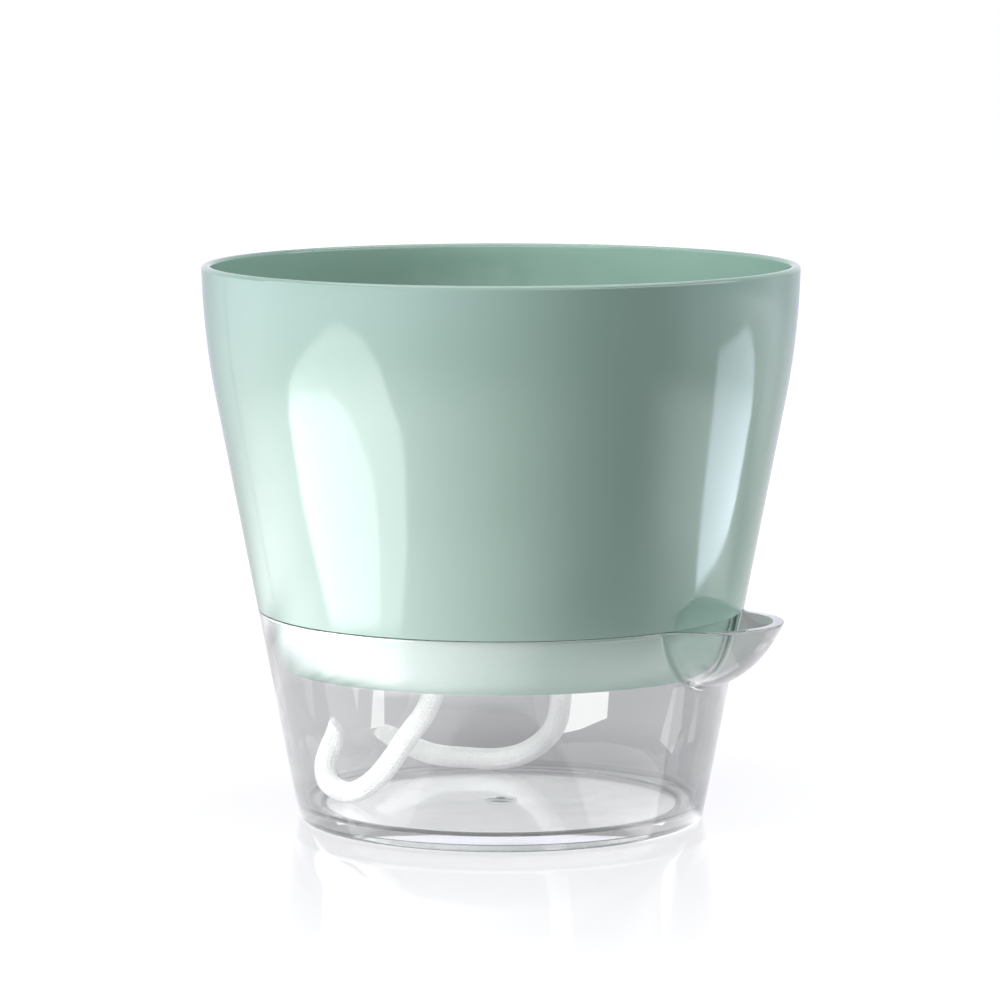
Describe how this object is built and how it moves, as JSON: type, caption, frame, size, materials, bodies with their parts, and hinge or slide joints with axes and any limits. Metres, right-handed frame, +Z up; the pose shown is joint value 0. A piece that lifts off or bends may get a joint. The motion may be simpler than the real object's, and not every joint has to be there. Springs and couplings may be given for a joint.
{
  "type": "self-watering flower pot",
  "caption": "Tapered plastic flower pot that plugs into a clear water tank with a filling spout, with a cotton wick cord through the pot's floor that draws the water up.",
  "frame": {"origin": "on the surface that the tank stands on, on the axis of the pot and tank", "axes": "+Z up along the axis of the pot and tank, +X through the middle of the filling spout"},
  "size_m": [0.1514, 0.15, 0.14],
  "materials": {
    "pot_plastic": "glossy sage-green moulded plastic",
    "clear_plastic": "polished clear plastic",
    "wick_cotton": "white braided cotton"
  },
  "bodies": {
    "tank": {"water_tank": "clear_plastic"},
    "pot": {"planter_pot": "pot_plastic", "wick_front_tail": "wick_cotton", "wick_bridge": "wick_cotton", "wick_rear_tail": "wick_cotton"}
  },
  "joints": [
    {"name": "pot_lift", "type": "slide", "parent": "tank", "child": "pot", "axis": [0, 0, 1], "range_m": [0, 0.065]}
  ]
}
